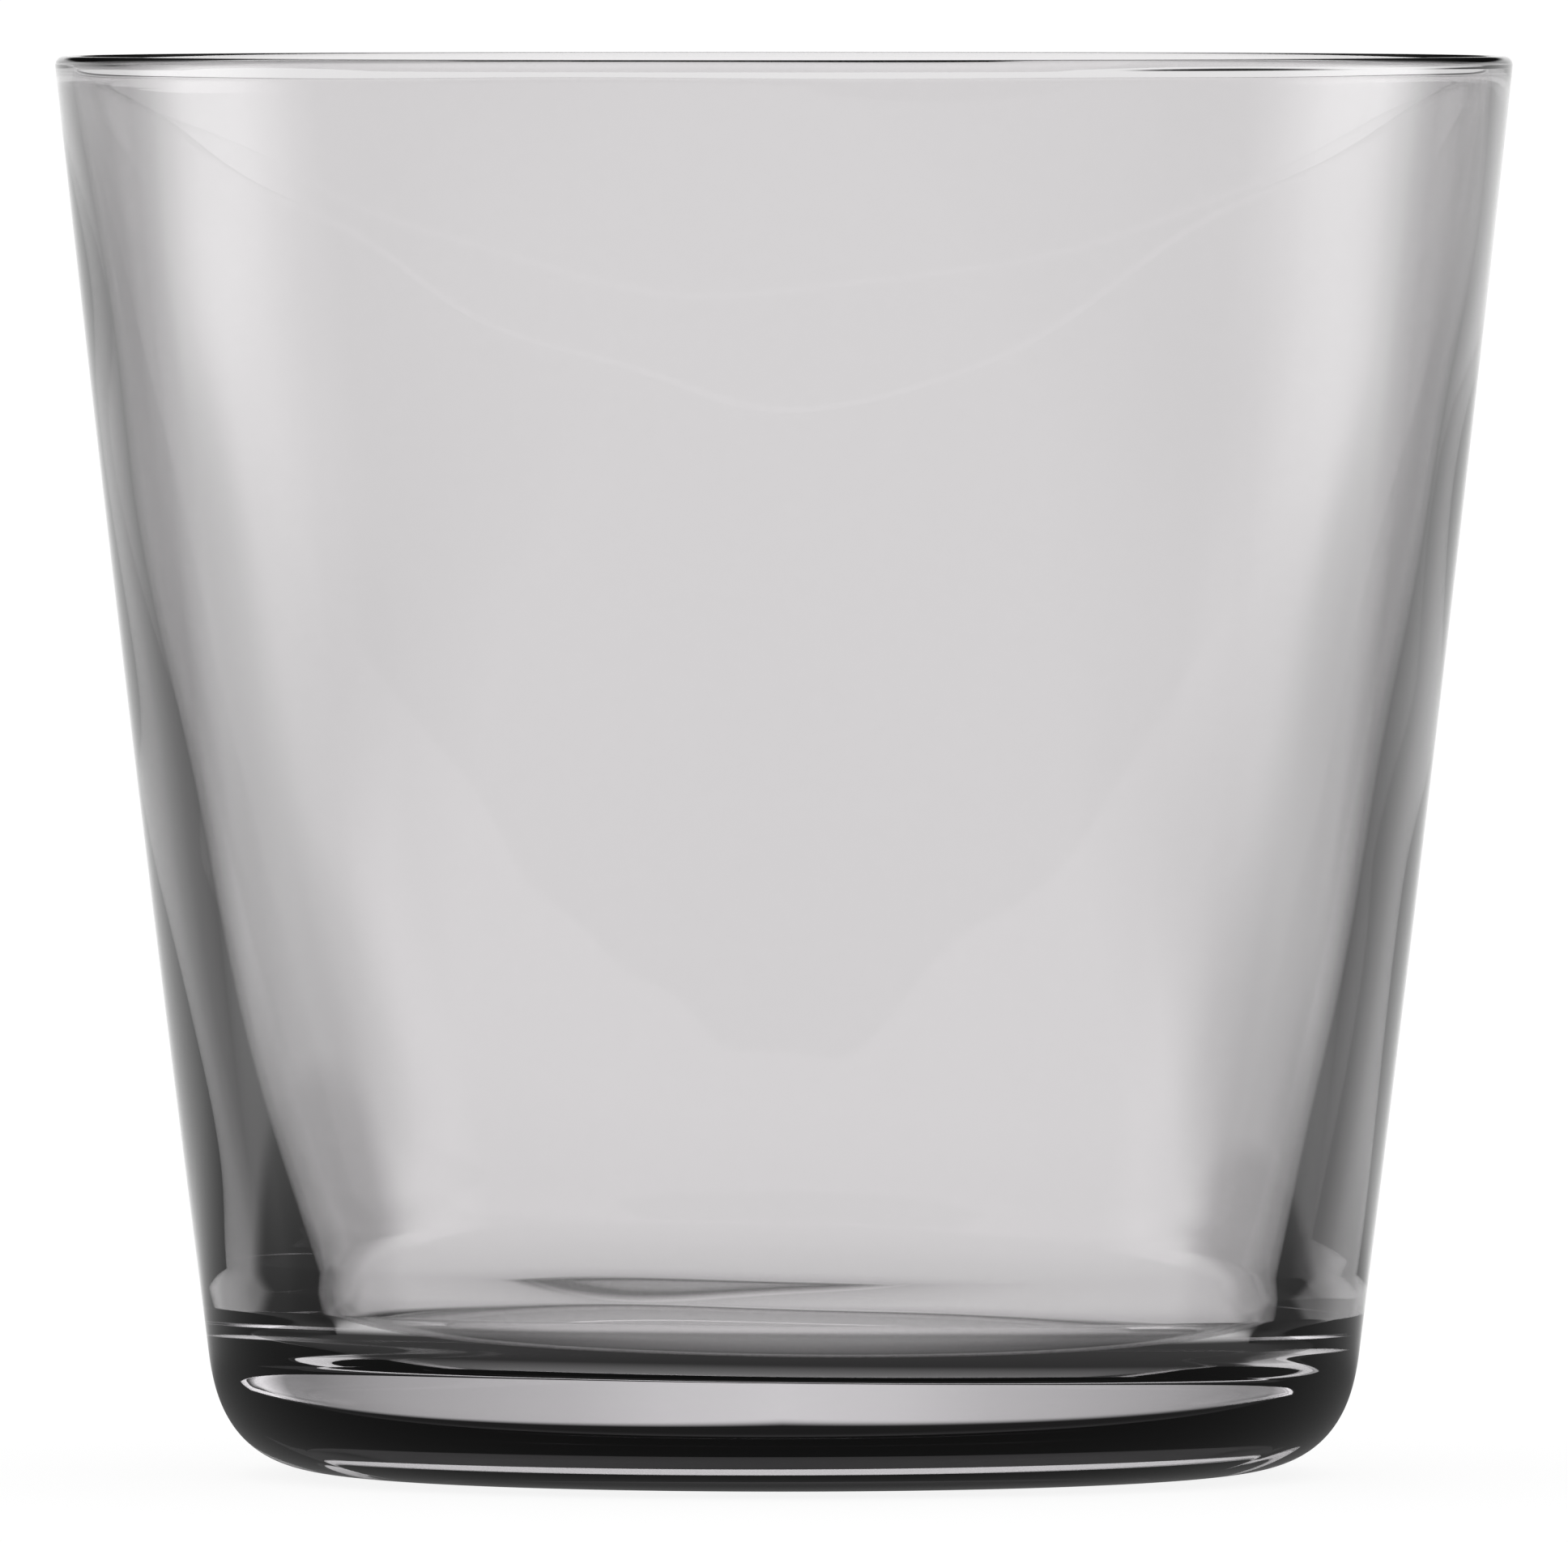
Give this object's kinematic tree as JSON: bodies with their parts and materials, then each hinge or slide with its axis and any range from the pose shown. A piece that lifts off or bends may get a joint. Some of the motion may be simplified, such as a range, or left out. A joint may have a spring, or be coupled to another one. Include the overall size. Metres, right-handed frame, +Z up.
{
  "type": "whiskey tumbler",
  "caption": "Straight-sided, tapered drinking glass with a thin lip, a wall that thickens downwards and a thick clear base.",
  "frame": {"origin": "middle of the plane that the tumbler stands on", "axes": "+Z up along the tumbler's axis, towards its open mouth; X and Y are level and alike"},
  "size_m": [0.0908, 0.0908, 0.0883],
  "materials": {
    "smoky_glass": "clear glass with a light grey tint, fire-polished gloss"
  },
  "bodies": {
    "root": {"glass_tumbler": "smoky_glass"}
  },
  "joints": []
}
